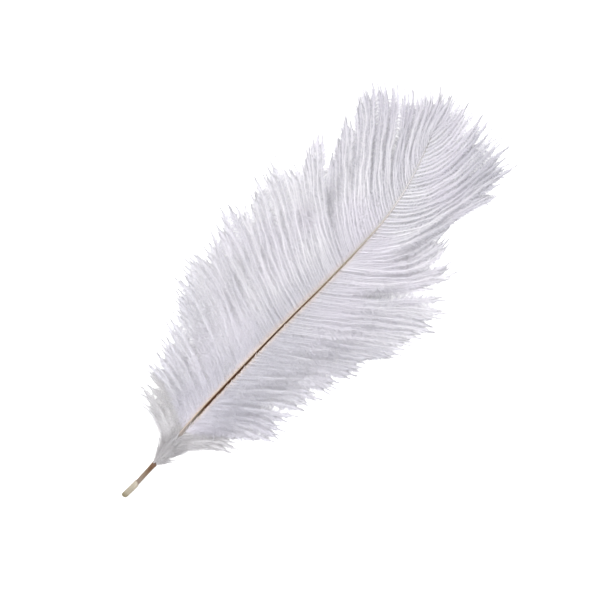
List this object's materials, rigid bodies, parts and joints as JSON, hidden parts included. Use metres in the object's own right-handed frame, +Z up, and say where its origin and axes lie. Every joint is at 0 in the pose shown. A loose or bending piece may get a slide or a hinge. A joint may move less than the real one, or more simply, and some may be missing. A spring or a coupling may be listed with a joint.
{
  "type": "ostrich feather",
  "caption": "Soft white plume lying flat: a bare quill, a grooved tapering shaft, two broad vanes of loose drooping barbs and a tuft of down at the base.",
  "frame": {"origin": "on the resting surface, below the middle of the feather's box", "axes": "+X from the quill's end towards the tip along the chord, +Y towards the left vane, +Z up from the surface, with the shaft's groove facing up"},
  "size_m": [0.305, 0.141, 0.0083],
  "materials": {
    "shaft_horn": "horny, satin, brown groove between pale edges",
    "barb_white": "soft, matt, faintly lilac white",
    "down_white": "fluffy, matt, off-white"
  },
  "bodies": {
    "root": {"shaft": "shaft_horn", "left_vane": "barb_white", "right_vane": "barb_white", "base_down": "down_white"}
  },
  "joints": []
}
